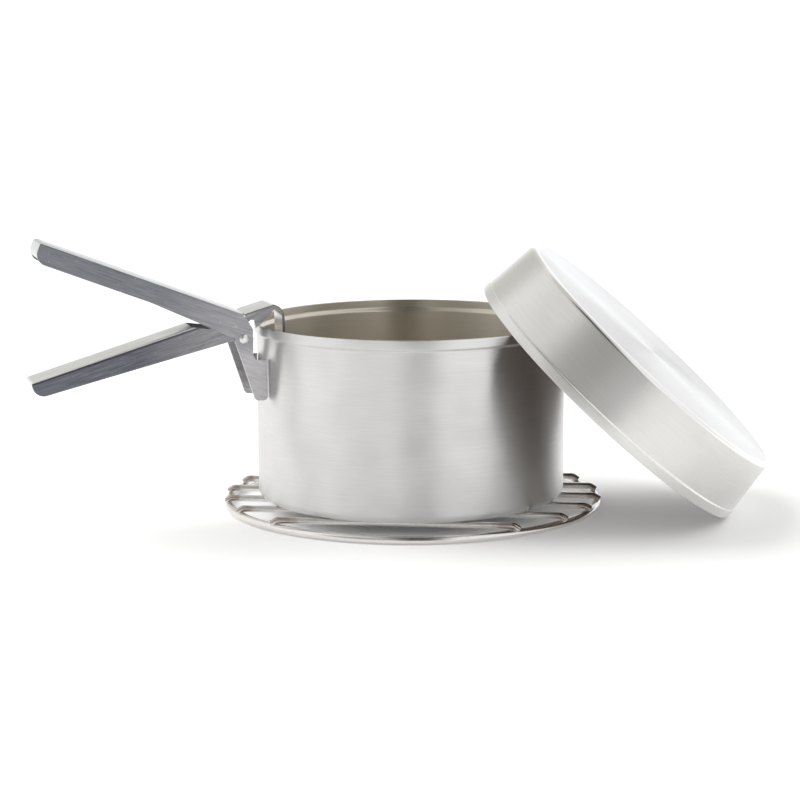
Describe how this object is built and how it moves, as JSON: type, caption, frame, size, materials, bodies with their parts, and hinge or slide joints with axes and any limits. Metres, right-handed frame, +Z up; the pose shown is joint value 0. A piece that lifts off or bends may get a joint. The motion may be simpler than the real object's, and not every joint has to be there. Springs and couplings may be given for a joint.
{
  "type": "cooking pot set",
  "caption": "Camping cook set: steel pot on a round wire grill, deep lid that doubles as a pan, and a two-lever pot gripper on the rim.",
  "frame": {"origin": "on the pot's axis, at the level that the grill and the leaning lid stand on", "axes": "+X from the pot towards the leaning lid, +Z up along the pot's axis"},
  "size_m": [0.331, 0.1805, 0.1285],
  "materials": {
    "grill_wire": "drawn stainless wire, electropolished",
    "pot_steel": "stainless steel, fine brushing round the axis",
    "lid_steel": "stainless steel, fine brushing round the axis",
    "gripper_steel": "stamped stainless sheet, tumbled, fine lengthwise scratches",
    "rivet_steel": "turned stainless rivet"
  },
  "bodies": {
    "grill": {"grill_ring": "grill_wire", "grill_bar_1": "grill_wire", "grill_bar_2": "grill_wire", "grill_bar_3": "grill_wire", "grill_bar_4": "grill_wire", "grill_bar_5": "grill_wire", "grill_bar_6": "grill_wire", "grill_bar_7": "grill_wire"},
    "pot": {"pot": "pot_steel"},
    "lid": {"lid": "lid_steel"},
    "gripper": {"upper_lever": "gripper_steel", "near_rivet": "rivet_steel", "far_rivet": "rivet_steel"},
    "lower_lever": {"lower_lever": "gripper_steel"}
  },
  "joints": [
    {"name": "pot_lift", "type": "slide", "parent": "grill", "child": "pot", "axis": [0, 0, 1], "range_m": [0, 0.1]},
    {"name": "lid_lift", "type": "slide", "parent": "pot", "child": "lid", "axis": [0.672, -0.0694, 0.7373], "range_m": [0, 0.1]},
    {"name": "gripper_lift", "type": "slide", "parent": "pot", "child": "gripper", "axis": [-0.3276, -0.0983, 0.9397], "range_m": [0, 0.06]},
    {"name": "gripper_close", "type": "hinge", "parent": "gripper", "child": "lower_lever", "pos_m": [-0.07672, -0.02302, 0.0831], "axis": [-0.2874, 0.9578, 0], "range_deg": [0, 11]}
  ]
}
